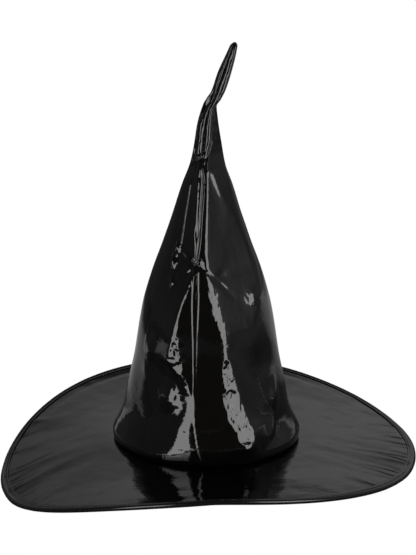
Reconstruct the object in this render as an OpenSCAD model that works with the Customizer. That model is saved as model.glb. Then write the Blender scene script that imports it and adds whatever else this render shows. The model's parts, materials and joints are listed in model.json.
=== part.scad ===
// Witch hat of black patent vinyl: a tall crooked crown with two stitched tucks and a wide wired brim.
// Millimetres, +Z up from the table, origin on the table below the middle of the brim, -Y is the front.
// Heights on the crown ("t") are measured from the head ring along the crown's leaning axis.

/* [Head opening] */
// Inside radius of the sweatband, for a head of about 57.5 cm
head_r = 91.5; // [89:0.5:91.5]
// Height of the sweatband ribbon
band_h = 15; // [12:1:15]

/* [Brim] */
// Outside diameter of the brim
brim_d = 430; // [410:5:450]
// Height of the front and back edges above the lowest stretches of the edge
edge_rise = 42; // [36:1:50]
// Height of the middle of the head ring above the table
ring_z = 30; // [28:1:36]
// How far the left low stretch is turned towards the front, in degrees
droop_turn = 10; // [0:1:15]
// Thickness of each vinyl layer of the brim
skin_t = 0.5; // [0.4:0.1:0.6]
// Thickness of the stiff interlining between the two vinyl layers
core_t = 1.6; // [1.2:0.1:2]
// Width of the folded edge binding
binding_w = 8; // [7:0.5:10]
// Diameter of the steel wire in the edge
wire_d = 2; // [1.6:0.1:2]

/* [Crown] */
// Lean of the crown and the head ring towards the right, in degrees
lean = 3.7; // [2:0.1:5]
// Thickness of the crown vinyl with its fabric backing
crown_t = 0.8; // [0.6:0.1:1]
// Thickness of the crown interlining
lining_t = 0.6; // [0.5:0.1:0.8]
// Depth of the turned-in seam allowance inside the front seam
seam_w = 7; // [5:0.5:8]
// Extra bend of the tip towards the right, in degrees
tip_bend = 21.5; // [15:0.5:28]
// Length of the bent stretch of the tip
tip_len = 73; // [55:1:75]

/* [Stitches] */
// Thickness of the sewing thread
thread_d = 0.5; // [0.4:0.1:0.6]
// Stitches around the brim in one row
ring_stitches = 120; // [60:12:144]
// Distance between the stitches of the front seam
seam_pitch = 7.5; // [6:0.5:12]

/* [Hidden] */

vinyl = [0.05, 0.05, 0.055];
cloth = [0.16, 0.16, 0.17];
thread = [0.11, 0.11, 0.12];
steel = [0.6, 0.6, 0.62];
ribbon = [0.09, 0.09, 0.1];
label_white = [0.9, 0.9, 0.88];

gap = 0.05;            // air between sewn layers, so that no two solids share space
round_fn = 96;         // facets of the round crown pieces
steps = 96;            // stretches around the brim
brim_r = brim_d / 2;
band_t = 0.6;
open_r = head_r + band_t + 0.3;                   // inside edge of the brim layers
wrap_t = 0.6;                                     // thickness of the binding tape
half_t = core_t / 2 + gap + skin_t;               // half the thickness of the layered brim
wrap_gap = 0.25;                                  // air between the brim's layers and the tape
wrap_h = half_t + wrap_gap + wrap_t;              // half the height of the bound edge
wire_r = wire_d / 2;
wire_in = 2.4;                                    // wire's centre, in from the edge
wire_gap = 0.15;                                  // air around the wire in its joiner
joiner_t = 0.2;
layer_r = brim_r - 4.2;                           // outside edge of the brim layers
low_lift = 1.7;                                   // keeps the binding's lowest stretch on the table
flat_share = 1.05;                                // flattens the two low stretches where they lie on the table
brim_curve = 1.5;                                 // how late the brim's fall starts, out from the ring

// Outline of the crown's outer face, as height on the axis and radius, from the rolled base upwards
crown_outline = [[2, 94.6], [8, 96.3], [14, 94.4], [22, 91], [38, 84.5], [60, 80], [90, 73.5],
                 [120, 68.8], [148, 62.5]];
crown_bottom = crown_outline[0][0];

// The crown bends at its two tucks. At each one the lower shell ends in a ball-shaped collar, and
// the shell above has a socket-shaped rim around it. Both are round about the same bend centre.
collar_t = 1;
play = 0.5;
low_t = 168;                                      // height of the lower bend centre
low_r = 56;                                       // outside radius of its ball
low_open = 50;                                    // the ball's upper end, in degrees above its middle
low_rim = 24;                                     // the socket's rim, in degrees above the middle
low_leave = 38;                                   // where the wall leaves the socket
top_t = 285;
top_r = 16;
top_open = 70;
middle_outline = [[217, 41], [237, 34.3], [257, 27.2], [277, 19.6]];
tip_outline = [[296.8, 13], [306, 13.6], [316, 12.2], [326, 10.2], [334, 8.4]];
tip_end_r = 3.8;
tip_wall = 1;
tip_sides = 24;
tip_root = tip_outline[len(tip_outline) - 1];

function flip(list) = [for (i = [len(list) - 1:-1:0]) list[i]];
function as_rt(outline, inset = 0) = [for (p = outline) [p[1] - inset, p[0]]];
function ball_arc(t, r, a0, a1) = [for (a = [a0:(a1 - a0) / 8:a1 + 0.001]) [r * cos(a), t + r * sin(a)]];
function crown_r(t) = lookup(t, concat(crown_outline, [[low_t, low_r]]));
function middle_r(t) = lookup(t, concat(middle_outline, [[top_t, top_r]]));

// Height of the brim's middle surface at a distance r and an angle a around the origin. It starts in
// the leaning plane of the head ring and falls to the table at the right and the left.
function droop(a) = pow(max(0, cos(a)), 1.4) + pow(max(0, cos(a - 180 - droop_turn)), 3);
function edge_z(a) = low_lift + edge_rise * (1 - min(1, flat_share * droop(a)));
function ring_plane_z(r, a) = ring_z - r * cos(a) * tan(lean);
function outward(r) = max(0, (r - open_r) / (brim_r - open_r));
function brim_z(r, a) = ring_plane_z(r, a)
    + (edge_z(a) - ring_plane_z(brim_r, a)) * pow(outward(r), brim_curve);
function brim_point(r, a, dz) = [r * cos(a), r * sin(a), brim_z(r, a) + dz];

module on_crown(t = 0) {
    translate([0, 0, ring_z]) rotate([0, lean, 0]) translate([0, 0, t]) children();
}

// A closed ring around the brim, whose cross-section is a list of [r, height above the middle surface].
// Every layer's panels are split along the same diagonal, so that stacked layers stay clear.
module brim_ring(section) {
    n = len(section);
    points = [for (i = [0:steps - 1]) for (p = section) brim_point(p[0], i * 360 / steps, p[1])];
    faces = [for (i = [0:steps - 1]) for (j = [0:n - 1])
        let (k = (i + 1) % steps, m = (j + 1) % n)
        each section[m][0] >= section[j][0]
            ? [[i * n + j, i * n + m, k * n + m], [i * n + j, k * n + m, k * n + j]]
            : [[i * n + j, i * n + m, k * n + j], [i * n + m, k * n + m, k * n + j]]];
    polyhedron(points, faces);
}

module brim_layer(z0, z1) {
    rows = [for (i = [0:6]) open_r + (layer_r - open_r) * i / 6];
    brim_ring(concat([for (r = rows) [r, z1]], [for (r = flip(rows)) [r, z0]]));
}

// A row of straight stitches that lie on the brim at the distance r, between the heights z0 and z1
module stitch_ring(r, z0, z1, count) {
    half = thread_d / 2;
    reach = 360 / count * 0.34;
    for (i = [0:count - 1]) {
        a = i * 360 / count;
        corners = [for (z = [z0, z1]) for (c = [[-1, -1], [1, -1], [1, 1], [-1, 1]])
            brim_point(r + c[0] * half, a + c[1] * reach, z)];
        polyhedron(corners, [[0, 2, 3], [0, 1, 2], [4, 7, 6], [4, 6, 5], [0, 5, 1], [0, 4, 5],
                             [1, 6, 2], [1, 5, 6], [2, 7, 3], [2, 6, 7], [3, 4, 0], [3, 7, 4]]);
    }
}

// The turned-in edges of the front seam: a flat fin inside the front wall
module seam_fin(outline) {
    rotate([0, 0, -90]) rotate([90, 0, 0]) linear_extrude(height = 2 * crown_t, center = true)
        polygon(concat(as_rt(outline, crown_t / 2), flip(as_rt(outline, seam_w))));
}

// Opening in the interlining for the seam fin
module seam_slot(t0, t1) {
    translate([-2, -head_r - 10, t0]) cube([4, head_r, t1 - t0]);
}

// Stitches through the seam fin from t0 up to t1
module seam_stitches(t0, t1, depth) {
    for (t = [t0:seam_pitch:t1])
        translate([0, -(t < low_t ? crown_r(t) : middle_r(t)) + depth, t])
            rotate([0, 90, 0]) cylinder(d = thread_d, h = 2 * crown_t + 1, center = true, $fn = 16);
}

module crown_lower() {
    color(vinyl) on_crown() union() {
        rotate_extrude($fn = round_fn) polygon(concat(
            as_rt(crown_outline), ball_arc(low_t, low_r, 0, low_open),
            flip(ball_arc(low_t, low_r - collar_t, 0, low_open)), flip(as_rt(crown_outline, crown_t))));
        seam_fin([for (t = [20, 38, 60, 90, 120, 148]) [t, crown_r(t)]]);
    }
}

module crown_lower_interlining() {
    stations = [18, 22, 38, 60, 90, 120, 148];
    outer = crown_t + gap;
    color(cloth) on_crown() difference() {
        rotate_extrude($fn = round_fn) polygon(concat(
            [for (t = stations) [crown_r(t) - outer, t]],
            [for (t = flip(stations)) [crown_r(t) - outer - lining_t, t]]));
        seam_slot(10, 160);
    }
}

module seam_stitching_lower() {
    color(thread) on_crown() seam_stitches(26, 146, crown_t + seam_w / 2);
}

module brim_top() {
    color(vinyl) brim_layer(core_t / 2 + gap, half_t);
}

module brim_interlining() {
    color(cloth) brim_layer(-core_t / 2, core_t / 2);
}

module brim_underside() {
    color(vinyl) brim_layer(-half_t, -core_t / 2 - gap);
}

module brim_join_stitching() {
    color(thread) stitch_ring(open_r + 2.5, -half_t - gap - thread_d, -half_t - gap, ring_stitches * 3 / 4);
}

module brim_wire() {
    sides = 8;
    color(steel) brim_ring([for (i = [0:sides - 1])
        [brim_r - wire_in + wire_r * sin(i * 360 / sides), wire_r * cos(i * 360 / sides)]]);
}

// A crimped sleeve that joins the two ends of the wire, on one straight stretch at the back
module wire_joiner() {
    i = steps / 4;
    p = brim_point(brim_r - wire_in, i * 360 / steps, 0);
    q = brim_point(brim_r - wire_in, (i + 1) * 360 / steps, 0);
    d = q - p;
    color(steel) translate((p + q) / 2) rotate([0, acos(d[2] / norm(d)), atan2(d[1], d[0])])
        difference() {
            cylinder(r = wire_r + wire_gap + joiner_t, h = 12, center = true, $fn = 32);
            cylinder(r = wire_r + wire_gap, h = 14, center = true, $fn = 32);
        }
}

// Tape folded around the edge, over the wire
module brim_binding() {
    nose = brim_r - wire_in;
    inside = wrap_h - wrap_t;
    function half_round(x, r, a0, a1) = [for (a = [a0:(a1 - a0) / 4:a1 + sign(a1 - a0) * 0.001])
        [nose + x * sin(a), r * cos(a)]];
    color(vinyl) brim_ring(concat(
        [[brim_r - binding_w, wrap_h]], half_round(wire_in, wrap_h, 0, 180),
        [[brim_r - binding_w, -wrap_h]], [[brim_r - binding_w, -inside]],
        flip(half_round(wire_in - wrap_t, inside, 0, 180)), [[brim_r - binding_w, inside]]));
}

module binding_stitching() {
    r = brim_r - binding_w + 1.5;
    color(thread) {
        stitch_ring(r, wrap_h + gap, wrap_h + gap + thread_d / 2, ring_stitches);
        stitch_ring(r, -wrap_h - gap - thread_d / 2, -wrap_h - gap, ring_stitches);
    }
}

// Ribbon around the inside of the head opening: the wearer's head touches this face
module sweatband() {
    color(ribbon) on_crown(-half_t) difference() {
        cylinder(r = head_r + band_t, h = band_h, $fn = round_fn);
        translate([0, 0, -1]) cylinder(r = head_r, h = band_h + 2, $fn = round_fn);
    }
}

module sweatband_stitching() {
    count = 60;
    color(thread) on_crown(band_h - half_t - 2) for (i = [0:count - 1])
        rotate([0, 0, i * 360 / count]) rotate_extrude(angle = 240 / count, $fn = round_fn)
            translate([head_r + 0.1, 0]) circle(d = thread_d, $fn = 16);
}

// Blank label that hangs inside the back of the crown from the sweatband's upper edge
module care_label() {
    tilt = 20;
    color(label_white) on_crown(band_h + 2) translate([0, head_r - 7, 0]) rotate([tilt, 0, 0])
        translate([-14, -0.4, 0]) cube([28, 0.4, 30]);
}

module crown_middle() {
    socket = low_r + play;
    color(vinyl) on_crown() union() {
        rotate_extrude($fn = round_fn) polygon(concat(
            ball_arc(low_t, socket + collar_t, low_rim, low_leave), as_rt(middle_outline),
            ball_arc(top_t, top_r, 0, top_open), flip(ball_arc(top_t, top_r - collar_t, 0, top_open)),
            flip(as_rt(middle_outline, crown_t)), flip(ball_arc(low_t, socket, low_rim, low_leave))));
        seam_fin([for (t = [218, 237, 257, 274]) [t, middle_r(t)]]);
    }
}

module crown_middle_interlining() {
    stations = [217, 237, 257, 274];
    outer = crown_t + gap;
    color(cloth) on_crown() difference() {
        rotate_extrude($fn = round_fn) polygon(concat(
            [for (t = stations) [middle_r(t) - outer, t]],
            [for (t = flip(stations)) [middle_r(t) - outer - lining_t, t]]));
        seam_slot(200, 280);
    }
}

module seam_stitching_middle() {
    color(thread) on_crown() seam_stitches(222, 270, crown_t + seam_w / 2);
}

// Thread bars that hold a tuck, lying across the seam on a ball of radius r around the height t
module tuck_bars(t, r, angles, length) {
    on_crown(t) for (a = angles)
        rotate([-a, 0, 0]) translate([0, -r - thread_d / 2 - gap, 0])
            rotate([0, 90, 0]) cylinder(d = thread_d, h = length, center = true, $fn = 16);
}

module lower_tuck_stitching() {
    color(thread) tuck_bars(low_t, low_r + play + collar_t, [27:1.5:34], 8);
}

// Rings of the tip's wall from its rim to its end, as [sideways, height, tilt, radius]. The tip stands
// on the crown's axis up to its root and leans from there on.
function tip_rings(wall) = concat(
    [for (p = tip_outline) [0, p[0], p == tip_root ? tip_bend / 2 : 0, p[1] - wall]],
    [for (part = [0.15:0.17:1]) let (s = part * tip_len)
        [s * sin(tip_bend), tip_root[0] + s * cos(tip_bend), tip_bend,
         tip_root[1] + (tip_end_r - tip_root[1]) * part - wall]],
    [for (q = [45, 75]) let (s = tip_len + (tip_end_r - wall) * sin(q))
        [s * sin(tip_bend), tip_root[0] + s * cos(tip_bend), tip_bend, (tip_end_r - wall) * cos(q)]]);

function ring_points(ring) = [for (i = [0:tip_sides - 1])
    let (x = ring[3] * cos(i * 360 / tip_sides), y = ring[3] * sin(i * 360 / tip_sides))
    [ring[0] + x * cos(ring[2]), y, ring[1] - x * sin(ring[2])]];

module crown_tip() {
    n = tip_sides;
    rings = concat(tip_rings(0), flip(tip_rings(tip_wall)));
    last = len(rings) - 1;
    half = len(rings) / 2;
    walls = [for (k = [0:last]) if (k != half - 1) for (i = [0:n - 1])
        let (m = (k + 1) % len(rings), j = (i + 1) % n)
        each [[k * n + i, m * n + i, m * n + j], [k * n + i, m * n + j, k * n + j]]];
    caps = [[for (i = [0:n - 1]) (half - 1) * n + n - 1 - i], [for (i = [0:n - 1]) half * n + i]];
    color(vinyl) on_crown() polyhedron([for (r = rings) each ring_points(r)], concat(walls, caps));
}

module upper_tuck_stitching() {
    color(thread) on_crown() for (t = [298.5:1.5:303])
        translate([0, -lookup(t, tip_outline) - thread_d / 2 - gap, t])
            rotate([0, 90, 0]) cylinder(d = thread_d, h = 5, center = true, $fn = 16);
}

crown_lower();
crown_lower_interlining();
seam_stitching_lower();
brim_top();
brim_interlining();
brim_underside();
brim_join_stitching();
brim_wire();
wire_joiner();
brim_binding();
binding_stitching();
sweatband();
sweatband_stitching();
care_label();
crown_middle();
crown_middle_interlining();
seam_stitching_middle();
lower_tuck_stitching();
crown_tip();
upper_tuck_stitching();
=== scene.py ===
"""Witch hat of black patent vinyl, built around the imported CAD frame.

Lengths are in millimetres until a mesh is made. Heights on the crown ("t") are measured from the
head ring along the crown's leaning axis, and angles around it ("phi") from the front, to the right.
"""
import json
import math

import bpy
import numpy as np
from mathutils import Matrix, Vector, noise


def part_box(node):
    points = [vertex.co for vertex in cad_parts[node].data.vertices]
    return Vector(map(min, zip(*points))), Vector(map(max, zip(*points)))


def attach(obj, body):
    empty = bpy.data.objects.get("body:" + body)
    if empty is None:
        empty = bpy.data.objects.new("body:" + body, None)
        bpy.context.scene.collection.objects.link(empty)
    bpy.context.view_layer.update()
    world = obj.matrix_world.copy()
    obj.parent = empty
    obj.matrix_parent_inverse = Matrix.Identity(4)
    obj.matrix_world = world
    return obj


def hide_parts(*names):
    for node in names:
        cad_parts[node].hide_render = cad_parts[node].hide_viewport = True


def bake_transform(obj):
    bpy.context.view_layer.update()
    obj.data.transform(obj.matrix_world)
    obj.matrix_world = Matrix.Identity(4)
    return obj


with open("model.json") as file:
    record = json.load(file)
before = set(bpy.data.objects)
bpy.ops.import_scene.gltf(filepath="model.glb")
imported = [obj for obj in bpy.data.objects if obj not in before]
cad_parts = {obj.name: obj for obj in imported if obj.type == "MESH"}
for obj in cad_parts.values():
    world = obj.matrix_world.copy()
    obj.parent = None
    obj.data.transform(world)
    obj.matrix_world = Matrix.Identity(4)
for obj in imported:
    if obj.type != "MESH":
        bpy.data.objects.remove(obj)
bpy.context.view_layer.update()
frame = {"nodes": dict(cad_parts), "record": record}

MM = 0.001

# ---------------------------------------------------------------- places taken from the frame

opening = next(m for m in frame["record"]["mounts"] if m["name"] == "head_opening")
UP = -Vector(opening["axis"]).normalized()
LEAN = math.atan2(UP.x, UP.z)
RING_Z = opening["pos_m"][2] / MM - opening["pos_m"][0] / MM / math.tan(LEAN)
HEAD_R = opening["dims"]["r_mm"]
BRIM_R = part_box("brim_binding")[1].x / MM


def on_crown(x, y, t):
    """Row-frame points, in millimetres, of points in the crown's own leaning frame."""
    c, s = math.cos(LEAN), math.sin(LEAN)
    return np.stack([x * c + t * s, y + 0 * t, RING_Z - x * s + t * c], axis=-1)


# ---------------------------------------------------------------- small tools

def curve_through(stations):
    """A smooth curve through (place, value) stations, that never swings past them."""
    xs = np.array([s[0] for s in stations], float)
    ys = np.array([s[1] for s in stations], float)
    rise = np.diff(ys) / np.diff(xs)
    slopes = np.concatenate([rise[:1], 0 * rise[1:], rise[-1:]])
    same = rise[:-1] * rise[1:] > 0
    slopes[1:-1][same] = 2 / (1 / rise[:-1][same] + 1 / rise[1:][same])

    def at(x):
        x = np.clip(x, xs[0], xs[-1])
        i = np.clip(np.searchsorted(xs, x) - 1, 0, len(xs) - 2)
        h = xs[i + 1] - xs[i]
        u = (x - xs[i]) / h
        a = (1 + 2 * u) * (1 - u) ** 2 * ys[i] + u * (1 - u) ** 2 * h * slopes[i]
        return a + u * u * (3 - 2 * u) * ys[i + 1] + u * u * (u - 1) * h * slopes[i + 1]

    return at


def smooth_step(x, a, b):
    u = np.clip((x - a) / (b - a), 0, 1)
    return u * u * (3 - 2 * u)


def soft_min(a, b, k):
    """The smaller of a and b, with the corner between them rounded over about k."""
    low = np.minimum(a, b)
    return low - k * np.log(np.exp(-(a - low) / k) + np.exp(-(b - low) / k))


def soft_max(a, b, k):
    return -soft_min(-a, -b, k)


def crumple(points, size, seed, stretch=(1, 1, 1)):
    """Smooth noise at the points, between about -1 and 1, with features of the given size."""
    flat = np.asarray(points).reshape(-1, 3) / size * np.array(stretch) + seed * 17.3
    values = np.array([noise.noise(Vector(p)) for p in flat])
    return values.reshape(np.asarray(points).shape[:-1]) * 1.6


def new_mesh(name, points, faces, material):
    """A smooth-shaded object from row-frame points in millimetres."""
    mesh = bpy.data.meshes.new(name)
    mesh.from_pydata((np.asarray(points) * MM).tolist(), [], faces)
    mesh.polygons.foreach_set("use_smooth", [True] * len(mesh.polygons))
    mesh.materials.append(material)
    mesh.update()
    piece = bpy.data.objects.new(name, mesh)
    bpy.context.scene.collection.objects.link(piece)
    return piece


def loft(name, rows, material):
    """A closed skin over rows of points. Each row is a loop, and the last row joins the first."""
    rows = np.asarray(rows)
    count, n = rows.shape[:2]
    faces = []
    for k in range(count):
        m = (k + 1) % count
        for i in range(n):
            j = (i + 1) % n
            faces.append((k * n + i, k * n + j, m * n + j, m * n + i))
    return new_mesh(name, rows.reshape(-1, 3), faces, material)


def shell(name, outer, inner, material):
    """A closed skin with crisp rims: rows of its outer face, then of its inner face back again."""
    outer, inner = np.asarray(outer), np.asarray(inner)
    piece = loft(name, np.concatenate([outer, inner]), material)
    n = outer.shape[1]
    keys = set()
    for row in (0, len(outer) - 1, len(outer), len(outer) + len(inner) - 1):
        for i in range(n):
            a, b = row * n + i, row * n + (i + 1) % n
            keys.add((min(a, b), max(a, b)))
    edges = np.empty(len(piece.data.edges) * 2, dtype=int)
    piece.data.edges.foreach_get("vertices", edges)
    sharp = [(min(a, b), max(a, b)) in keys for a, b in edges.reshape(-1, 2).tolist()]
    piece.data.attributes.new("sharp_edge", "BOOLEAN", "EDGE").data.foreach_set("value", sharp)
    return piece


def stitch_row(name, centres, directions, normals, length, width, material):
    """Short rounded threads, one at each centre, that lie along their directions."""
    sides = 6
    ends = [(-0.5, 0.25), (-0.42, 0.8), (-0.25, 1.0), (0.25, 1.0), (0.42, 0.8), (0.5, 0.25)]
    points = []
    faces = []
    for c, d, up in zip(centres, directions, normals):
        d = d / np.linalg.norm(d)
        side = np.cross(d, up)
        side /= np.linalg.norm(side)
        up = np.cross(side, d)
        base = len(points)
        for along, fat in ends:
            dip = (abs(along) * 2) ** 2 * width * 0.5
            for q in range(sides):
                a = 2 * math.pi * q / sides
                points.append(c + d * along * length - up * dip
                              + (side * math.cos(a) + up * math.sin(a)) * width / 2 * fat)
        for k in range(len(ends) - 1):
            for q in range(sides):
                r = (q + 1) % sides
                faces.append((base + k * sides + q, base + (k + 1) * sides + q,
                              base + (k + 1) * sides + r, base + k * sides + r))
        faces.append(tuple(base + q for q in range(sides)))
        faces.append(tuple(base + (len(ends) - 1) * sides + q for q in range(sides))[::-1])
    return new_mesh(name, points, faces, material)


# ---------------------------------------------------------------- materials

def new_material(name):
    material = bpy.data.materials.new(name)
    material.use_nodes = True
    return material, material.node_tree.nodes, material.node_tree.links


def place_node(nodes, links, scale):
    """Object coordinates, in metres, times a scale for each axis."""
    where = nodes.new("ShaderNodeTexCoord")
    mapping = nodes.new("ShaderNodeMapping")
    mapping.inputs["Scale"].default_value = scale
    links.new(where.outputs["Object"], mapping.inputs["Vector"])
    return mapping.outputs["Vector"]


def noise_node(nodes, links, place, scale, detail, roughness):
    node = nodes.new("ShaderNodeTexNoise")
    node.inputs["Scale"].default_value = scale
    node.inputs["Detail"].default_value = detail
    node.inputs["Roughness"].default_value = roughness
    links.new(place, node.inputs["Vector"])
    return node.outputs["Fac"]


def bump_node(nodes, links, height, distance, below=None):
    node = nodes.new("ShaderNodeBump")
    node.inputs["Strength"].default_value = 1.0
    node.inputs["Distance"].default_value = distance
    links.new(height, node.inputs["Height"])
    if below is not None:
        links.new(below, node.inputs["Normal"])
    return node.outputs["Normal"]


def range_node(nodes, links, value, low, high, out_low, out_high):
    node = nodes.new("ShaderNodeMapRange")
    node.inputs["From Min"].default_value = low
    node.inputs["From Max"].default_value = high
    node.inputs["To Min"].default_value = out_low
    node.inputs["To Max"].default_value = out_high
    links.new(value, node.inputs["Value"])
    return node.outputs["Result"]


def math_node(nodes, links, operation, a, b):
    node = nodes.new("ShaderNodeMath")
    node.operation = operation
    links.new(a, node.inputs[0])
    links.new(b, node.inputs[1])
    return node.outputs[0]


def product_node(nodes, links, a, b):
    return math_node(nodes, links, "MULTIPLY", a, b)


def sum_node(nodes, links, a, b):
    return math_node(nodes, links, "ADD", a, b)


def tint_node(nodes, links, value, dark, light):
    node = nodes.new("ShaderNodeMix")
    node.data_type = "RGBA"
    node.inputs["A"].default_value = (*dark, 1)
    node.inputs["B"].default_value = (*light, 1)
    links.new(value, node.inputs["Factor"])
    return node.outputs["Result"]


def patent_vinyl():
    """Black lacquered vinyl on cloth: a mirror-like film with a soft swell and a fine ripple. The
    cloth's fibres show through as fine streaks that tear the edges of its reflections."""
    material, nodes, links = new_material("patent_vinyl")
    shader = nodes["Principled BSDF"]
    place = place_node(nodes, links, (1, 1, 0.6))
    streaks = noise_node(nodes, links, place, 330, 2.0, 0.5)
    ripple = noise_node(nodes, links, place, 120, 2.0, 0.5)
    fibres = noise_node(nodes, links, place, 1500, 1.0, 0.5)
    swell = noise_node(nodes, links, place, 38, 1.5, 0.45)
    normal = bump_node(nodes, links, swell, 0.0005)
    normal = bump_node(nodes, links, ripple, 0.0002, normal)
    normal = bump_node(nodes, links, streaks, 0.00007, normal)
    normal = bump_node(nodes, links, fibres, 0.000006, normal)
    links.new(normal, shader.inputs["Normal"])
    tint = tint_node(nodes, links, ripple, (0.0012, 0.0012, 0.0012), (0.0022, 0.0021, 0.002))
    links.new(tint, shader.inputs["Base Color"])
    rough = range_node(nodes, links, streaks, 0.3, 0.7, 0.05, 0.09)
    links.new(rough, shader.inputs["Roughness"])
    shader.inputs["Specular IOR Level"].default_value = 0.5
    return material


WAVE_LENGTH = 0.314          # length of a wave, in units, in a wave texture of scale 1


def woven(name, dark, light, thread_mm, roughness, relief_mm, sheen, specular=0.4):
    """A fine woven or knitted cloth: crossing waves in all three directions, with uneven yarn."""
    material, nodes, links = new_material(name)
    shader = nodes["Principled BSDF"]
    place = place_node(nodes, links, (1, 1, 1))
    height = None
    for axis in ("X", "Y", "Z"):
        wave = nodes.new("ShaderNodeTexWave")
        wave.bands_direction = axis
        wave.inputs["Scale"].default_value = WAVE_LENGTH / (thread_mm * MM)
        wave.inputs["Distortion"].default_value = 0.6
        wave.inputs["Detail"].default_value = 1.0
        links.new(place, wave.inputs["Vector"])
        if height is None:
            height = wave.outputs["Fac"]
            continue
        height = product_node(nodes, links, height, wave.outputs["Fac"])
    yarn = noise_node(nodes, links, place, 900, 2.0, 0.6)
    normal = bump_node(nodes, links, height, relief_mm * MM)
    normal = bump_node(nodes, links, yarn, relief_mm * MM * 0.5, normal)
    links.new(normal, shader.inputs["Normal"])
    links.new(tint_node(nodes, links, yarn, dark, light), shader.inputs["Base Color"])
    shader.inputs["Roughness"].default_value = roughness
    shader.inputs["Specular IOR Level"].default_value = specular
    shader.inputs["Sheen Weight"].default_value = sheen
    return material


def drawn_steel():
    material, nodes, links = new_material("drawn_steel")
    shader = nodes["Principled BSDF"]
    place = place_node(nodes, links, (1, 1, 1))
    grain = noise_node(nodes, links, place, 700, 2.0, 0.6)
    tint = tint_node(nodes, links, grain, (0.32, 0.32, 0.33), (0.5, 0.5, 0.51))
    links.new(tint, shader.inputs["Base Color"])
    rough = range_node(nodes, links, grain, 0.3, 0.7, 0.3, 0.45)
    links.new(rough, shader.inputs["Roughness"])
    links.new(bump_node(nodes, links, grain, 0.00001), shader.inputs["Normal"])
    shader.inputs["Metallic"].default_value = 1.0
    return material


def pale_floor():
    """A shadowless light table: it glows for the lens, and throws little light back on the hat."""
    material, nodes, links = new_material("pale_floor")
    shader = nodes["Principled BSDF"]
    shader.inputs["Base Color"].default_value = (0.14, 0.14, 0.14, 1)
    shader.inputs["Roughness"].default_value = 0.9
    shader.inputs["Specular IOR Level"].default_value = 0.1
    where = nodes.new("ShaderNodeTexCoord")
    split = nodes.new("ShaderNodeSeparateXYZ")
    links.new(where.outputs["Object"], split.inputs[0])
    across, along = split.outputs["X"], split.outputs["Y"]
    # where the table glows: a strip behind the hat, and a little at its right, left and front
    behind = product_node(nodes, links, range_node(nodes, links, along, 0.25, 0.4, 0, 1),
                          range_node(nodes, links, along, 0.7, 1.0, 0.34, 0))
    sides = sum_node(nodes, links, range_node(nodes, links, across, 0.4, 1.2, 0, 0.15),
                     range_node(nodes, links, across, -0.4, -1.2, 0, 0.03))
    front = range_node(nodes, links, along, -0.4, -0.9, 0, 0.07)
    glow_there = sum_node(nodes, links, sum_node(nodes, links, behind, sides), front)
    glow = nodes.new("ShaderNodeEmission")
    links.new(glow_there, glow.inputs["Strength"])
    lit = nodes.new("ShaderNodeAddShader")
    links.new(shader.outputs["BSDF"], lit.inputs[0])
    links.new(glow.outputs["Emission"], lit.inputs[1])
    white = nodes.new("ShaderNodeEmission")
    seen = nodes.new("ShaderNodeLightPath")
    both = nodes.new("ShaderNodeMixShader")
    links.new(seen.outputs["Is Camera Ray"], both.inputs["Fac"])
    links.new(lit.outputs["Shader"], both.inputs[1])
    links.new(white.outputs["Emission"], both.inputs[2])
    links.new(both.outputs["Shader"], nodes["Material Output"].inputs["Surface"])
    return material


VINYL = patent_vinyl()
TAPE = woven("binding_tape", (0.003, 0.003, 0.003), (0.006, 0.006, 0.006), 0.55, 0.14, 0.004, 0.0, 0.5)
BACKING = woven("knitted_backing", (0.012, 0.012, 0.013), (0.03, 0.03, 0.032), 0.9, 0.85, 0.08, 0.3)
INTERLINING = woven("interlining", (0.03, 0.03, 0.032), (0.06, 0.06, 0.063), 1.4, 0.95, 0.05, 0.1)
THREAD = woven("sewing_thread", (0.008, 0.008, 0.009), (0.02, 0.02, 0.022), 0.25, 0.5, 0.02, 0.2)
RIBBON = woven("grosgrain_ribbon", (0.012, 0.012, 0.013), (0.028, 0.028, 0.03), 1.1, 0.6, 0.12, 0.3)
SATIN = woven("label_satin", (0.7, 0.7, 0.68), (0.86, 0.86, 0.84), 0.3, 0.4, 0.02, 0.2)
STEEL = drawn_steel()

# ---------------------------------------------------------------- crown: the outline

BASE_T = 1.2                 # height of the join with the brim
SKIN_TOP_T = 296.0           # where the tip's own piece takes over, inside the upper tuck
LOW_TUCK_T = 198.0
TOP_TUCK_T = 296.0
TIP_STARTS = 282             # the crown's section turns into the tip's from here
TIP_ALONE = 308              # and has become it here

crown_r = curve_through([
    (0, 92.6), (1.2, 93.0), (3, 95.2), (6, 96.4), (10, 96.2), (15, 94.2), (22, 90.8), (30, 87.4),
    (38, 84.8), (60, 80.4), (92, 73.4), (120, 69.2), (145, 64.6), (165, 59.4), (186, 52.4),
    (207, 44.6), (237, 34.4), (267, 25), (285, 18.2), (296, 15.6), (310, 13)
])

# The seam wanders a little to the left of the front, in degrees
seam_phi = curve_through([
    (0, -1), (20, -5.5), (60, -9), (120, -10), (165, -11), (186, -12), (198, -12.5), (222, -11),
    (249, -10.5), (272, -10), (285, -15), (296, -22)
])

# Half the width of the seam's raised band
seam_half = curve_through([
    (0, 1.0), (75, 0.9), (100, 1.3), (125, 1.7), (145, 2.4), (165, 2.8), (180, 2.4), (200, 2.2)
])

# Two creases run down from the lower tuck and hold a flat front panel between them. Their places are
# distances to the right of the middle. Above the tuck they close up into one ridge along the seam.
left_crease = curve_through([
    (0, -25), (15, -28), (37, -26.5), (48, -21), (58, -18.5), (64, -18.5), (84, -24), (98, -33),
    (106, -39), (118, -38), (136, -34.5), (152, -30), (166, -24.5), (178, -19.5), (190, -15),
    (206, -12.5), (237, -12), (267, -10.5), (285, -9), (296, -8)
])
right_crease = curve_through([
    (0, 34), (14, 38), (26, 42), (36, 40.5), (46, 34), (60, 27), (80, 21.8), (100, 18.2), (116, 16),
    (128, 15), (140, 12.5), (152, 8), (166, 4.5), (178, 2), (190, -1.2), (198, -2.2), (218, -1.5),
    (250, -0.7), (272, -0.5), (288, -0.5), (296, 0)
])
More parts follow.
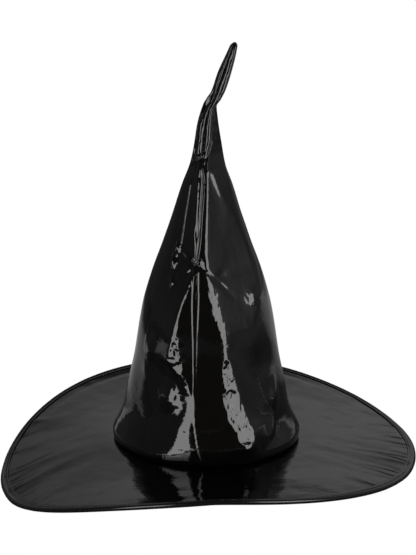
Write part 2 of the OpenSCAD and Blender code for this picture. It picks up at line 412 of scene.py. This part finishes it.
# How far in front of the axis the panel stands
panel_depth = curve_through([
    (0, 93), (8, 97.5), (38, 91.5), (60, 87), (84, 81.8), (106, 77.6), (130, 73.8), (150, 69.8),
    (165, 65.8), (187, 58.2), (215, 49), (237, 41.8), (267, 30.3), (285, 22.8), (300, 17)
])
# How far the crown is a round cone (0) or creased (1), and how soft each crease is
creased = curve_through([(0, 0.25), (6, 0.4), (14, 0.85), (26, 0.97), (40, 1), (296, 1)])
left_soft = curve_through([
    (0, 7), (16, 6.5), (37, 4.8), (57, 2.6), (76, 1.0), (98, 1.0), (105, 1.5), (112, 3.5),
    (122, 3.0), (134, 2.2), (150, 1.6), (166, 1.2), (186, 1.0), (200, 1.2), (270, 1.2), (296, 1)
])
right_soft = curve_through([(0, 8), (14, 5), (20, 1.5), (120, 0.8), (200, 0.8), (296, 0.5)])
# The least that the flanks turn away from the front, in degrees
least_turn = curve_through([(0, 0), (8, 20), (16, 36), (296, 38)])

FLANK_SOFT = 0.5             # rounding where a flank meets the round cone
STRIP_SOFT = 0.3             # rounding along the edges of the strips cut at the creases
WHOLE_CUT = 0.8              # up to this cut, a crease stays whole
LEFT_TURN = -19              # degrees that the strip at each crease is turned from the front
RIGHT_TURN = 22


def flank(t, phi, crease, depth, side):
    """Radius of the flat flank that runs from the crease on its side to the round cone behind."""
    r = crown_r(t)
    apart = np.maximum(np.hypot(crease, depth), r * 1.001)
    starts = np.arctan2(crease, depth)
    faces = side * np.maximum(side * starts + np.arccos(r / apart), np.radians(least_turn(t)))
    line = apart * np.cos(faces - starts) / np.cos(np.clip(phi - faces, -1.4, 1.4))
    return np.where((phi - faces) * side < 0, line, soft_min(line, r, FLANK_SOFT))


# How deep each crease is cut back to a strip that faces its soft box
left_cut = curve_through([
    (0, 4.0), (16, 5.2), (34, 4.3), (46, 2.8), (60, 2.0), (92, 1.6), (97, 3), (104, 4.4),
    (136, 2.0), (150, 1.3), (190, 1.3), (200, 0.9), (212, 1.3), (296, 1.3)
])
right_cut = curve_through([
    (0, 1.6), (10, 1.6), (16, 0.8), (22, 2.8), (28, 5.2), (40, 5.6), (60, 4.8), (80, 3.6),
    (100, 2.4), (112, 1.2), (120, 1.0), (130, 2), (144, 2.2), (165, 2.1), (176, 1.7), (184, 0.6),
    (190, 0), (206, 0), (215, 0.5), (296, 0.5)
])


def left_uneven(t):
    """How uneven the left strip is, as a share of its cut: calm near the base."""
    return 0.14 + 0.21 * smooth_step(t, 40, 80)


def ragged(t, phi):
    """Uneven edges for the cut strips, in millimetres of cut."""
    places = np.stack([crown_r(t) * phi, 0 * t, t * 0.7], axis=-1)
    return 0.35 * crumple(places, 6, 11) + 0.28 * crumple(places, 2.6, 12)


def chamfer(phi, crease, depth, turn, cut):
    """Radius of a plane turned so many degrees from the front, that cuts the crease's corner off."""
    turn = math.radians(turn)
    reach = crease * math.sin(turn) + depth * math.cos(turn) + WHOLE_CUT - cut
    return reach / np.maximum(np.cos(phi - turn), 0.2)


def paneled(t, phi):
    """Radius of the crown where its front is creased into two flanks and a front panel."""
    depth = panel_depth(t)
    panel = np.where(np.cos(phi) > 0.3, depth / np.maximum(np.cos(phi), 0.3), 1e3)
    out = soft_min(flank(t, phi, left_crease(t), depth, -1), panel, left_soft(t))
    out = soft_min(out, flank(t, phi, right_crease(t), depth, 1), right_soft(t))
    uneven = ragged(t, phi)
    cut = left_cut(t) * (1 + left_uneven(t) * uneven)
    out = soft_min(out, chamfer(phi, left_crease(t), depth, LEFT_TURN, cut), STRIP_SOFT)
    cut = right_cut(t) + np.minimum(right_cut(t), 1) * uneven
    return soft_min(out, chamfer(phi, right_crease(t), depth, RIGHT_TURN, cut), STRIP_SOFT)


def band(s, half, soft):
    """1 between -half and half, and 0 outside, with shoulders as soft as soft."""
    return 0.5 * (np.tanh((s + half) / soft) - np.tanh((s - half) / soft))


def seam_relief(t, s):
    """The seam at the distance s: a raised band below the lower tuck, and two rolled edges above."""
    band_high = 0.75
    line_deep, line_half = 0.35, 0.5
    roll_high, roll_half, roll_apart = 0.3, 2.6, 4.0
    slit_deep, slit_half = 1.3, 0.9
    near_low = np.exp(-((t - LOW_TUCK_T) / 7) ** 2)
    near_top = np.exp(-((t - TOP_TUCK_T) / 7) ** 2)
    upper = smooth_step(t, LOW_TUCK_T - 4, LOW_TUCK_T + 12)
    lower = band_high * band(s, seam_half(t), 0.55) - line_deep * np.exp(-(s / line_half) ** 2)
    apart = roll_apart * (1 - 0.5 * near_low - 0.5 * near_top)
    rolls = np.exp(-((s + apart) / roll_half) ** 2) + np.exp(-((s - apart) / roll_half) ** 2)
    slit = np.exp(-(s / slit_half) ** 2)
    return (1 - upper) * lower + upper * (roll_high * rolls - slit_deep * slit)


def pleat(t, s, start, end, high, width, grow):
    """A ridge from start to end, both (s, t), that widens and fades. Negative heights are valleys."""
    start, end = np.array(start, float), np.array(end, float)
    line = end - start
    length = np.linalg.norm(line)
    line /= length
    along = (s - start[0]) * line[0] + (t - start[1]) * line[1]
    across = (s - start[0]) * -line[1] + (t - start[1]) * line[0]
    u = np.clip(along / length, 0, 1)
    wide = width * (1 + (grow - 1) * u)
    past_end = np.where(along > length, (along - length) / wide, 0)
    ends = np.where(along < 0, along / (0.5 * width), past_end)
    fade = np.minimum(1, (u + 0.12) * 4) * (1 - u * 0.75)
    return high * fade * np.exp(-(across / wide) ** 2 - ends ** 2)


def lump(t, s, centre, high, wide, tall):
    return high * np.exp(-((s - centre[0]) / wide) ** 2 - ((t - centre[1]) / tall) ** 2)


# Pleats that fan out from the tucks, with s measured from the front line
TUCK_S = -10.5
PLEATS = [
    # start, end, height, half width at the start, how much wider at the end
    ((TUCK_S + 3, 196), (28, 163), -1.3, 1.5, 1.8),
    ((TUCK_S + 8, 198), (30, 178), 0.5, 4.0, 2.0),
    ((TUCK_S - 3, 192), (-30, 178), -2.0, 2.0, 1.6),
    ((TUCK_S - 2, 199), (-26, 209), 2.2, 1.8, 1.3),
    # a thin fold left of the seam: one ridge from each end, so that it is as high all along
    ((-17, 277), (-28.5, 212), 0.85, 0.9, 1.0),
    ((-28.5, 212), (-17, 277), 0.85, 0.9, 1.0),
    ((3, 285), (22, 246), 1.4, 2.8, 1.9),
]
LUMPS = [
    # centre, height, half width, half height
    # the hollow of the lower tuck, and the ear at its left
    ((TUCK_S, LOW_TUCK_T), -3.0, 6.5, 5.0),
    ((-32, 210), 3.4, 3.4, 4.0),
    ((-37, 197), 3.4, 3.0, 7.0),
    ((-38, 177), 1.8, 2.6, 5.0),
    # the bulge and the hollow at the tuck's right
    ((54, 160), 2.0, 10.0, 8.0),
    ((14, 184), -1.5, 8.0, 6.0),
    # the swell low at the left, and the widest stretch of the seam's groove
    ((-39, 67), 4.6, 9.0, 13.0),
    ((-9.5, 226), -1.3, 1.8, 8.0),
    # gathers below the upper tuck
    ((-13.5, 286), 0.9, 1.8, 5.0),
    ((-4.5, 286), 0.9, 1.8, 5.0),
    # broad soft dents and swells of the whole crown
    ((-44, 92), -1.2, 9, 20),
    ((60, 90), -1.2, 12, 26),
    ((-70, 96), 1.6, 12, 26),
    ((-84, 60), -1.4, 12, 24),
    ((-64, 108), 2.0, 6, 9),
    ((-70, 78), 1.5, 6, 16),
    ((80, 60), 2.4, 7, 18),
    ((70, 30), 1.4, 6, 9),
]
# Crumpled patches: centre (s, t), half width, half height, how abrupt the edge is, strength
TORN = [
    ((-33, 194), 9, 26, 2, 1.0),
    ((-31, 88), 8, 34, 4, 0.6),
    ((49, 161), 8, 8, 2, 0.9),
]
TORN_HIGH = 0.35
# Waves of the whole crown: height, size, seed, and a stretch below 1 that draws them out up the crown
WAVES = [
    (0.45, 46, 1, 0.6),
    (0.12, 17, 2, 0.8),
]


def crown_relief(t, phi):
    """Everything that stands out from, or is pressed into, the crown's panels."""
    r = crown_r(t)
    s = r * phi
    out = seam_relief(t, r * (phi - np.radians(seam_phi(t))))
    for start, end, high, width, grow in PLEATS:
        out = out + pleat(t, s, start, end, high, width, grow)
    for centre, high, wide, tall in LUMPS:
        out = out + lump(t, s, centre, high, wide, tall)
    return out


def crown_points(t, phi, inset=0.0, detail=1.0):
    """Row-frame points of the crown's skin at heights and angles. Higher up it turns into the tip."""
    part = creased(t) * smooth_step(np.cos(phi), -0.2, 0.6)
    r = crown_r(t) * (1 - part) + paneled(t, phi) * part
    front = smooth_step(np.cos(phi), -0.1, 0.4)
    r = r + crown_relief(t, phi) * front * detail
    rough = on_crown(r * np.sin(phi), -r * np.cos(phi), t)
    waves = 0 * r
    for high, size, seed, stretch in WAVES:
        waves = waves + high * crumple(rough, size, seed, (1, 1, stretch))
    r = r + smooth_step(t, 4, 20) * detail * waves
    s = r * phi
    torn = 0 * r
    for centre, wide, tall, abrupt, strong in TORN:
        away = np.abs((s - centre[0]) / wide) ** abrupt + np.abs((t - centre[1]) / tall) ** abrupt
        torn = torn + strong * np.exp(-away)
    r = r + detail * front * torn * TORN_HIGH * crumple(rough, 4.5, 3)
    r = np.maximum(r - inset, 1.0)
    x, y = r * np.sin(phi), -r * np.cos(phi)
    share = smooth_step(t, TIP_STARTS, TIP_ALONE)
    tip_x, tip_y = tip_section(t, phi, inset)
    return on_crown(x + (tip_x - x) * share, y + (tip_y - y) * share, t)


def front_heavy_angles(n_front, n_back):
    """Angles around the crown, closer together at the front."""
    edge = math.radians(62)
    front = np.linspace(-edge, edge, n_front, endpoint=False)
    back = np.linspace(edge, 2 * math.pi - edge, n_back, endpoint=False)
    return np.concatenate([front, back])


def crown_rows(heights, angles, inset=0.0, detail=1.0):
    t, phi = np.meshgrid(heights, angles, indexing="ij")
    phi = (phi + math.pi) % (2 * math.pi) - math.pi
    return crown_points(t, phi, inset, detail)


def build_crown():
    angles = front_heavy_angles(200, 90)
    heights = np.concatenate([
        np.linspace(BASE_T, 12, 14, endpoint=False),
        np.linspace(12, 150, 108, endpoint=False),
        np.linspace(150, 215, 84, endpoint=False),
        np.linspace(215, SKIN_TOP_T, 84)])
    inner = np.linspace(BASE_T, SKIN_TOP_T, 40)[::-1]
    skin = shell("crown_vinyl", crown_rows(heights, angles), crown_rows(inner, angles, 0.8), VINYL)
    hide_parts("crown_lower", "crown_middle")
    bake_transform(skin)

    coarse = np.linspace(0, 2 * math.pi, 160, endpoint=False)
    up = np.linspace(16, 286, 90)
    outer = crown_rows(up, coarse, 1.8, 0.6)
    inner = crown_rows(up[::-1], coarse, 2.5, 0.6)
    lining = shell("crown_interlining", outer, inner, INTERLINING)
    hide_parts("crown_lower_interlining", "crown_middle_interlining")
    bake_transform(lining)


# ---------------------------------------------------------------- crown: the tip

# The tip's left and right outlines, sideways from the axis. The cone goes on behind a rolled front
# up to a corner on the right, and from there the roll bends away alone.
tip_left = curve_through([
    (270, -24), (286, -17), (300, -14.5), (313, -12.5), (326, -10.5), (346, -4.5), (353, -0.5),
    (358, 3), (378, 10), (398, 19.2), (408, 23.5)
])
tip_right = curve_through([
    (270, 24), (286, 18.3), (306, 14.3), (332, 10.2), (344, 9), (351, 13), (361, 18), (382, 24.6),
    (397, 28.2), (408, 30)
])
tip_depth = curve_through([
    (282, 26.5), (288, 23.5), (296, 19), (304, 16), (312, 13.5), (330, 10), (345, 8.2), (360, 7.2),
    (380, 6.3), (408, 4.6)
])
# The groove down the middle of the roll, the roll's own right edge, and how far the back shows at
# the roll's left
tip_groove = curve_through([
    (290, -9), (296, -7.5), (303, -4.7), (323, -2.8), (341, 1), (355, 7), (368, 11.7), (384, 17.5),
    (397, 22), (409, 26.3)
])
roll_edge = curve_through([
    (290, 0), (303, 3), (313, 5.3), (323, 5.8), (333, 5.8), (341, 6.2), (346, 9), (353, 14.5),
    (409, 34)
])
back_shows = curve_through([(330, 0), (340, 2), (349, 4.5), (357, 2.5), (366, 0)])
TIP_END = 407.0
TIP_CAP = 4.5                # height of its rounded end
TIP_SLANT = 0.09             # how much the tip leans back
ROLL_SHARE = 0.75            # how far the roll stands out, as a share of the tip's depth
FOLD_SHARE = 0.9             # how round its two folds are
TIE_DEEP = 2.0               # how deep the thread of the upper tuck pulls it in


def tube(x, left, right):
    """How far a round fold that spans left to right stands out at x."""
    wide = np.maximum((right - left) / 2, 0.2)
    return wide * np.sqrt(np.clip(1 - ((x - (left + right) / 2) / wide) ** 2, 0, 1))


def tip_section(t, phi, inset=0.0):
    """Sideways and forward places of the tip's skin at the height t and the angle phi around it."""
    left, right = tip_left(t), tip_right(t)
    cap = np.sqrt(1 - np.clip((t - TIP_END + TIP_CAP) / TIP_CAP, 0, 0.995) ** 2)
    middle = (left + right) / 2
    left, right = middle + (left - middle) * cap, middle + (right - middle) * cap
    wide = np.maximum((right - left) / 2 - inset, 0.3)
    deep = np.maximum(tip_depth(t) * cap - inset, 0.3)
    x = middle + wide * np.sin(phi)
    start, edge, groove = left + back_shows(t), np.minimum(roll_edge(t), right), tip_groove(t)
    u = np.clip((x - (start + edge) / 2) / np.maximum((edge - start) / 2, 0.3), -1, 1)
    folds = np.maximum(tube(x, start, groove), tube(x, groove, edge))
    roll = ROLL_SHARE * deep * np.sqrt(1 - u ** 4) + FOLD_SHARE * folds
    roll = roll - TIE_DEEP * np.exp(-((t - TOP_TUCK_T) / 2.2) ** 2)
    behind = np.minimum(right - x, right - edge + 0.5)
    shoulder = np.where(x < start + 1.5, 0.45 * (x - left), 0)
    face = soft_max(soft_max(roll, behind, 0.25), shoulder, 0.25)
    rim = smooth_step(np.cos(phi), 0.0, 0.25)
    face = face * rim + deep * np.cos(phi) * (1 - rim)
    y = np.where(np.cos(phi) > 0, -np.maximum(face - inset, 0), -deep * np.cos(phi))
    return x, y + TIP_SLANT * np.maximum(t - TOP_TUCK_T - 8, 0)


def build_tip():
    front = np.linspace(-0.5, 0.5, 150, endpoint=False)
    back = np.linspace(0.5, 1.5, 60, endpoint=False)
    phi = np.concatenate([front, back]) * math.pi
    top = TIP_END - 2 * TIP_CAP
    body = np.linspace(SKIN_TOP_T, top, 150, endpoint=False)
    cap = TIP_END - 2 * TIP_CAP * np.linspace(1, 0.01, 22) ** 2
    heights = np.concatenate([body, cap])
    t, a = np.meshgrid(heights, phi, indexing="ij")
    outer = crown_points(t, a)
    rolled = 1 - 0.9 * smooth_step(tip_section(t, a)[0] - roll_edge(t), -0.5, 1.5)
    rolled = rolled * smooth_step(np.cos(a), 0.1, 0.5)
    rolled = rolled * smooth_step(t, SKIN_TOP_T, 306) * (1 - smooth_step(t, top, TIP_END))
    creases = 0.16 * crumple(outer, 4, 5, (1, 1, 0.3)) + 0.10 * crumple(outer, 2.4, 6, (1, 1, 0.5))
    outer[..., 1] -= creases * rolled
    t, a = np.meshgrid(np.linspace(SKIN_TOP_T, TIP_END - 3, 40)[::-1], phi, indexing="ij")
    tip = shell("tip_vinyl", outer, crown_points(t, a, 0.9), VINYL)
    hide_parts("crown_tip")
    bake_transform(tip)


# ---------------------------------------------------------------- brim

OPEN_R = HEAD_R + 0.9        # inner edge of the brim's layers
EDGE_RISE = 42.0             # how far the edge at the front and back stands above the low sides
LOW_LIFT = 1.7               # height of the middle surface where the edge lies on the table
FLAT_SHARE = 1.05            # above 1, the edge lies flat for a stretch at each side
DROOP_TURN = math.radians(10)
BRIM_CURVE = 1.5             # above 1, the brim bends down more towards its edge
HALF_T = 1.35
VINYL_T = 0.5
CORE_GAP = 0.62              # from the brim's faces to its interlining
WIRE_ROOM = 3.4              # from the edge to the brim's layers, for the wire
TAPE_W = 8.0
TAPE_STITCHES = 385
BEAD_R = 2.35


def edge_z(a):
    right = np.maximum(0, np.cos(a)) ** 1.4
    left = np.maximum(0, np.cos(a - math.pi - DROOP_TURN)) ** 3
    # the flat stretches on the table end softly
    low = soft_min(FLAT_SHARE * (right + left), 1.0 + 0 * a, 0.02)
    return LOW_LIFT + EDGE_RISE * (1 - low)


def brim_z(r, a):
    """Height of the brim's middle surface at the distance r and angle a, counted from the right."""
    ring = RING_Z - r * np.cos(a) * math.tan(LEAN)
    edge = edge_z(a) - (RING_Z - BRIM_R * np.cos(a) * math.tan(LEAN))
    return ring + edge * np.clip((r - OPEN_R) / (BRIM_R - OPEN_R), 0, 1.05) ** BRIM_CURVE


# Ripples that run inwards from the edge: angle in degrees, length, height and half width
RIPPLES = [
    (186, 62, 1.5, 5.0), (192, 50, -1.1, 4.0), (197, 46, 1.1, 4.0), (203, 60, -0.9, 6.0),
    (171, 34, 1.0, 4.5), (163, 40, -0.9, 6.0), (154, 30, 0.9, 4.0), (214, 40, 0.7, 6.0),
    (-2, 50, 0.9, 5.0), (-9, 66, -1.1, 5.0), (-15, 78, 1.3, 5.5), (-22, 70, -1.1, 5.0),
    (-29, 66, 1.1, 5.5), (-37, 50, -0.7, 6.0), (6, 40, -0.6, 5.0), (13, 46, 0.5, 6.0),
    (38, 40, 0.5, 7.0), (128, 40, 0.6, 8.0),
]


def brim_ripple(r, a):
    out = 0 * r
    inside = BRIM_R - TAPE_W - r
    for degrees, length, high, wide in RIPPLES:
        across = ((a - math.radians(degrees) + math.pi) % (2 * math.pi) - math.pi) * r
        spread = wide * (1 + np.clip(inside, 0, None) / length)
        fade = np.exp(-np.clip(inside, 0, None) / length * 1.6)
        out = out + high * np.exp(-(across / spread) ** 2) * fade
    places = np.stack([r * np.cos(a), r * np.sin(a), 0 * r], axis=-1)
    out = out + 0.55 * crumple(places, 52, 8) + 0.18 * crumple(places, 19, 9)
    # a shallow trough just inside the binding, along the back
    turned = (a + math.pi) % (2 * math.pi) - math.pi - math.radians(95)
    behind = np.exp(-(turned / math.radians(38)) ** 2)
    out = out - 1.3 * behind * np.exp(-((inside - 9) / 5) ** 2)
    out = out * smooth_step(r, OPEN_R + 4, OPEN_R + 26)
    return out * (1 - 0.88 * smooth_step(r, BRIM_R - TAPE_W - 3, BRIM_R - TAPE_W + 3))


def brim_point(r, a, dz):
    z = brim_z(r, a) + dz + brim_ripple(r, a)
    return np.stack([r * np.cos(a), r * np.sin(a), z], axis=-1)


def brim_rows(radii, angles, dz):
    r, a = np.meshgrid(radii, angles, indexing="ij")
    return brim_point(r, a, dz)


def build_brim():
    outside = BRIM_R - WIRE_ROOM
    fine = np.linspace(0, 2 * math.pi, 720, endpoint=False)
    coarse = np.linspace(0, 2 * math.pi, 360, endpoint=False)
    top = np.linspace(OPEN_R, outside, 96)
    few = np.linspace(OPEN_R, outside, 14)
    upper = shell("brim_top_vinyl", brim_rows(top, fine, HALF_T),
                  brim_rows(few[::-1], fine, HALF_T - VINYL_T), VINYL)
    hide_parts("brim_top")
    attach(upper, "base")

    mid = np.linspace(OPEN_R, outside, 50)
    core = shell("brim_core", brim_rows(mid, coarse, HALF_T - CORE_GAP),
                 brim_rows(mid[::-1], coarse, -HALF_T + CORE_GAP), INTERLINING)
    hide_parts("brim_interlining")
    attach(core, "base")

    under = shell("brim_underside_cloth", brim_rows(mid, coarse, -HALF_T + VINYL_T),
                  brim_rows(mid[::-1], coarse, -HALF_T), BACKING)
    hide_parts("brim_underside")
    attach(under, "base")


def build_binding():
    """Tape folded over the wire: a round bead at the edge, then a flat sewn strip above and below."""
    angles = np.linspace(0, 2 * math.pi, 900, endpoint=False)
    bead = BRIM_R - BEAD_R
    flat = HALF_T + 0.35
    section = [(BRIM_R - TAPE_W, flat + 0.45), (BRIM_R - TAPE_W + 0.6, flat + 0.62),
               (BRIM_R - 6.6, flat + 0.52), (BRIM_R - 5.6, flat + 0.12), (BRIM_R - 4.8, flat + 0.16)]
    arc = []
    for q in np.radians(np.arange(-38, 219, 17.1)):
        arc.append((bead + BEAD_R * math.sin(q), (BEAD_R + 0.1) * math.cos(q)))
    section = section + arc + [(r, -z) for r, z in section[::-1]]
    inner = [(BRIM_R - TAPE_W, -flat - 0.05), (bead, -flat - 0.05), (BRIM_R - 0.7, 0),
             (bead, flat + 0.05), (BRIM_R - TAPE_W, flat + 0.05)]
    rows = []
    for r, dz in section + inner:
        at_stitches = abs(r - BRIM_R + 5.4) < 1.4
        pucker = 0.10 * np.sin(angles * TAPE_STITCHES) * (1 if at_stitches else 0.25)
        rows.append(brim_point(r + 0 * angles, angles, dz + pucker * np.sign(dz)))
    tape = loft("binding_tape", np.array(rows), TAPE)
    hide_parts("brim_binding")
    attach(tape, "base")

    a = np.linspace(0, 2 * math.pi, TAPE_STITCHES, endpoint=False)
    r = BRIM_R - 5.5 + 0 * a
    step = np.stack([-np.sin(a), np.cos(a), 0 * a], axis=-1)
    over = brim_point(r, a, flat + 0.34)
    below = brim_point(r, a, -flat - 0.34)
    normals = np.tile([0.0, 0.0, 1.0], (TAPE_STITCHES, 1))
    sewn = stitch_row("binding_topstitch", np.concatenate([over, below]), np.concatenate([step, step]),
                      np.concatenate([normals, -normals]), 2.9, 0.5, THREAD)
    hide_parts("binding_stitching")
    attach(sewn, "base")


# ---------------------------------------------------------------- small sewn things

def build_tuck_threads():
    """A few turns of thread that tie each tuck on the seam."""
    body = "crown_middle"
    rows = [("lower_tuck_thread", "lower_tuck_stitching", LOW_TUCK_T, TUCK_S, 7.0),
            ("upper_tuck_thread", "upper_tuck_stitching", TOP_TUCK_T, -8.2, 9.0)]
    for name, node, t, s, long in rows:
        heights = t + np.array([-1.2, -0.4, 0.4, 1.2])
        phi = np.full(4, s / float(crown_r(t)))
        centres = crown_points(heights, phi) + np.array([0, -0.3, 0])
        directions = np.array([(1, 0.1, 0.12), (1, -0.1, -0.1), (1, 0.05, 0.2), (1, 0, -0.16)])
        normals = np.tile([0.0, -1.0, 0.1], (4, 1))
        thread = stitch_row(name, centres, directions, normals, long, 0.7, THREAD)
        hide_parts(node)
        if node == "lower_tuck_stitching":
            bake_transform(thread)
        else:
            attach(thread, body)


def build_label():
    """A blank woven label that hangs from the sweatband inside the back of the crown."""
    wide, tall = 28.0, 30.0
    lowest, thick = 17.0, 0.35
    u, v = np.meshgrid(np.linspace(-0.5, 0.5, 15), np.linspace(0, 1, 16), indexing="ij")
    lo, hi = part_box("care_label")
    top_y = (lo.y + hi.y) / 2 / MM
    # it leans in from the ribbon, cups across and waves a little
    curl = 4.2 - 10.2 * v - 2.2 * (u * 2) ** 2 * v + 0.8 * np.sin(v * 5 + u * 3)
    sheets = []
    for off in (0.0, thick):
        y = top_y + curl + off
        sheets.append(on_crown(u * wide, y, lowest + v * tall * 0.95).reshape(-1, 3))
    n, m = u.shape
    faces = []
    for side in (0, 1):
        for i in range(n - 1):
            for j in range(m - 1):
                f = [i * m + j, (i + 1) * m + j, (i + 1) * m + j + 1, i * m + j + 1]
                f = [side * n * m + k for k in f]
                faces.append(tuple(f if side else f[::-1]))
    rim = [i * m for i in range(n)] + [(n - 1) * m + j for j in range(1, m)]
    rim += [i * m + m - 1 for i in range(n - 2, -1, -1)] + [j for j in range(m - 2, 0, -1)]
    for k in range(len(rim)):
        a, b = rim[k], rim[(k + 1) % len(rim)]
        faces.append((a, b, b + n * m, a + n * m))
    label = new_mesh("care_label_cloth", np.concatenate(sheets), faces, SATIN)
    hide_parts("care_label")
    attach(label, "base")


def finish_cad_nodes():
    """The CAD parts that stay get their real finishes."""
    finishes = {
        "seam_stitching_lower": THREAD,
        "seam_stitching_middle": THREAD,
        "brim_join_stitching": THREAD,
        "brim_wire": STEEL,
        "wire_joiner": STEEL,
        "sweatband": RIBBON,
        "sweatband_stitching": THREAD,
    }
    for name, material in finishes.items():
        for slot in frame["nodes"][name].material_slots:
            slot.material = material


# ---------------------------------------------------------------- floor, light and camera

def build_floor():
    size = 12.0
    corners = [(-size, -size, 0), (size, -size, 0), (size, size, 0), (-size, size, 0)]
    mesh = bpy.data.meshes.new("floor")
    mesh.from_pydata(corners, [], [(0, 1, 2, 3)])
    mesh.materials.append(pale_floor())
    floor = bpy.data.objects.new("floor", mesh)
    bpy.context.scene.collection.objects.link(floor)


LEFT_AZIMUTH = -38           # degrees around the hat, from the camera's side to the right
RIGHT_AZIMUTH = 45
BOX_AWAY = 2.4
BOX_RADIANCE = 4.3
TABLE_RADIANCE = 4.2
TABLE_NEAR = 0.9             # the lit stretch of the table runs from here to the box
TABLE_WIDE = 0.9


def rectangle_light(name, azimuth, distance, height, width, length, radiance, flagged):
    """A rectangular light at a place around the hat. The pieces in flagged are kept out of it."""
    light = bpy.data.lights.new(name, "AREA")
    light.shape = "RECTANGLE"
    light.size = width
    light.size_y = length
    light.energy = radiance * math.pi * width * length
    lamp = bpy.data.objects.new(name, light)
    a = math.radians(azimuth)
    lamp.location = (distance * math.sin(a), -distance * math.cos(a), height)
    lamp.visible_camera = False
    lamp.light_linking.receiver_collection = flagged
    bpy.context.scene.collection.objects.link(lamp)
    return lamp


def soft_box(name, azimuth, high, width, flagged):
    """An upright rectangle of light that stands on the floor and faces the hat."""
    box = rectangle_light(name, azimuth, BOX_AWAY, high / 2, width, high, BOX_RADIANCE, flagged)
    aim = Vector((0, 0, box.location.z)) - box.location
    box.rotation_mode = "QUATERNION"
    box.rotation_quaternion = aim.to_track_quat("-Z", "Y")


def table_light(name, azimuth, flagged):
    """The lit table between the hat and a soft box: a rectangle that shines upwards."""
    middle = (TABLE_NEAR + BOX_AWAY) / 2
    length = BOX_AWAY - TABLE_NEAR
    table = rectangle_light(name, azimuth, middle, 0.002, TABLE_WIDE, length, TABLE_RADIANCE, flagged)
    table.rotation_euler = (math.pi, 0, math.radians(azimuth))


def build_lights():
    """A soft box and a lit table at each side. Those on the right are flagged off the brim's top,
    which would mirror them to the back."""
    flagged = bpy.data.collections.new("flagged_from_the_boxes")
    flagged.objects.link(bpy.data.objects["brim_top_vinyl"])
    flagged.collection_objects[0].light_linking.link_state = "EXCLUDE"
    soft_box("left_box", LEFT_AZIMUTH, 1.75, 1.2, None)
    soft_box("right_box", RIGHT_AZIMUTH, 1.6, 1.4, flagged)
    table_light("left_table", LEFT_AZIMUTH, None)
    table_light("right_table", RIGHT_AZIMUTH, flagged)


def ramp_node(nodes, links, value, stops):
    node = nodes.new("ShaderNodeValToRGB")
    node.color_ramp.interpolation = "EASE"
    while len(node.color_ramp.elements) < len(stops):
        node.color_ramp.elements.new(0.5)
    for element, (place, color) in zip(node.color_ramp.elements, stops):
        element.position = place
        element.color = (*color, 1)
    links.new(value, node.inputs["Fac"])
    return node.outputs["Color"]


def build_world():
    """A dim room with a pale wall behind the hat, a grey card at each side and a lighter corner at
    the right front. The lens sees plain white."""
    world = bpy.data.worlds.new("room")
    bpy.context.scene.world = world
    world.use_nodes = True
    nodes, links = world.node_tree.nodes, world.node_tree.links
    room = nodes["Background"]
    where = nodes.new("ShaderNodeTexCoord")
    split = nodes.new("ShaderNodeSeparateXYZ")
    links.new(where.outputs["Generated"], split.inputs[0])
    across, along, up = (split.outputs[axis] for axis in "XYZ")
    room_grey = ramp_node(nodes, links, range_node(nodes, links, along, -1, 1, 0, 1), [
        (0.0, (0.05, 0.046, 0.036)),
        (0.12, (0.05, 0.048, 0.04)),
        (0.30, (0.055, 0.055, 0.055)),
        (1.0, (0.05, 0.05, 0.05))])
    wall = product_node(nodes, links, range_node(nodes, links, along, 0.5, 0.85, 0, 0.36),
                        range_node(nodes, links, up, 0.10, 0.30, 0, 1))
    wall = product_node(nodes, links, wall, range_node(nodes, links, up, 0.55, 0.8, 1, 0.12))
    wall = product_node(nodes, links, wall, range_node(nodes, links, across, -0.35, 0.25, 0.5, 1.12))
    card = product_node(nodes, links, range_node(nodes, links, across, 0.5, 0.95, 0, 0.25),
                        range_node(nodes, links, up, -0.2, 0.25, 0, 1))
    left_card = product_node(nodes, links, range_node(nodes, links, across, -0.5, -0.95, 0, 0.05),
                             range_node(nodes, links, up, -0.3, 0.05, 0, 1))
    corner = product_node(nodes, links, range_node(nodes, links, along, -0.5, -0.12, 0.5, 0),
                          range_node(nodes, links, across, 0.5, 0.8, 0, 1))
    total = room_grey
    for part in (wall, card, left_card, corner):
        add = nodes.new("ShaderNodeMix")
        add.data_type = "RGBA"
        add.blend_type = "ADD"
        add.inputs["Factor"].default_value = 1.0
        links.new(total, add.inputs["A"])
        links.new(part, add.inputs["B"])
        total = add.outputs["Result"]
    links.new(total, room.inputs["Color"])
    plain = nodes.new("ShaderNodeBackground")
    plain.inputs["Color"].default_value = (1, 1, 1, 1)
    seen = nodes.new("ShaderNodeLightPath")
    both = nodes.new("ShaderNodeMixShader")
    links.new(seen.outputs["Is Camera Ray"], both.inputs["Fac"])
    links.new(room.outputs["Background"], both.inputs[1])
    links.new(plain.outputs["Background"], both.inputs[2])
    links.new(both.outputs["Shader"], nodes["World Output"].inputs["Surface"])


def build_camera():
    """The main view: in front of the hat, looking down on the brim, rolled a little."""
    distance = 2.0
    height_angle = math.radians(21.6)
    look_down = math.radians(16.12)
    look_right = math.radians(0.37)
    roll = math.radians(3.57)
    data = bpy.data.cameras.new("camera")
    data.lens = 124.2
    data.sensor_width = 36.0
    camera = bpy.data.objects.new("camera", data)
    camera.location = (0, -distance * math.cos(height_angle), distance * math.sin(height_angle))
    level = math.cos(look_down)
    ahead = Vector((math.sin(look_right) * level, math.cos(look_right) * level, -math.sin(look_down)))
    rolled = Matrix.Rotation(-roll, 4, "Z").to_quaternion()
    camera.rotation_mode = "QUATERNION"
    camera.rotation_quaternion = ahead.to_track_quat("-Z", "Y") @ rolled
    bpy.context.scene.collection.objects.link(camera)
    bpy.context.scene.camera = camera


build_camera()
build_crown()
build_tip()
build_brim()
build_binding()
build_tuck_threads()
build_label()
finish_cad_nodes()
build_floor()
build_lights()
build_world()
bpy.context.scene.view_settings.view_transform = "Standard"
